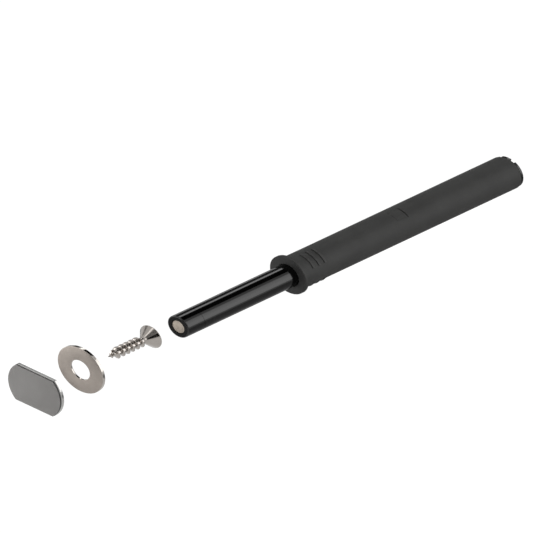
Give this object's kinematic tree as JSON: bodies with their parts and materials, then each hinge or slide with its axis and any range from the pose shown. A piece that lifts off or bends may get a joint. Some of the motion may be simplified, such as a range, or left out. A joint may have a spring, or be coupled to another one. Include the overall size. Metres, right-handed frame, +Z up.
{
  "type": "push to open catch",
  "caption": "Push to open catch for a drilled hole: ribbed tube with flange, sprung magnet plunger, screw-on washer strike and self-adhesive strike.",
  "frame": {"origin": "on the catch's axis, at the mouth of the drilled hole, where the back of the flange meets the cabinet edge", "axes": "+X points out of the hole along the plunger towards the door, +Z is up"},
  "size_m": [0.1552, 0.0172, 0.0147],
  "materials": {
    "housing_plastic": "fine spark eroded moulding texture, dark grey",
    "gloss_black_plastic": "polished black moulding",
    "magnet_plating": "nickel plated sintered magnet",
    "acetal": "natural acetal",
    "spring_steel": "drawn spring wire",
    "bright_nickel": "bright nickel plate",
    "satin_nickel": "satin nickel plate with a bright rim",
    "strike_steel": "bright zinc plate",
    "adhesive": "matte grey foam adhesive"
  },
  "bodies": {
    "housing": {"housing": "housing_plastic", "latch_track": "housing_plastic", "end_cap": "gloss_black_plastic", "spring": "spring_steel", "strike_screw": "bright_nickel", "strike_washer": "satin_nickel", "strike_plate": "strike_steel", "adhesive_pad": "adhesive"},
    "plunger": {"plunger": "gloss_black_plastic", "magnet_holder": "gloss_black_plastic", "magnet": "magnet_plating"},
    "latch_ring": {"latch_ring": "acetal"}
  },
  "joints": [
    {"name": "plunger_slide", "type": "slide", "parent": "housing", "child": "plunger", "axis": [1, 0, 0], "range_m": [-0.0358, 0], "stiffness_N_per_m": 120, "springref_m": 0.018, "deforming": ["spring"]},
    {"name": "latch_turn", "type": "hinge", "parent": "plunger", "child": "latch_ring", "pos_m": [-0.0271, 0, 0], "axis": [1, 0, 0], "range_deg": [-24.1, 0.1]}
  ],
  "couplings": [
    {"joint": "latch_turn", "follows": "plunger_slide", "rad_per_m": 11.7}
  ]
}
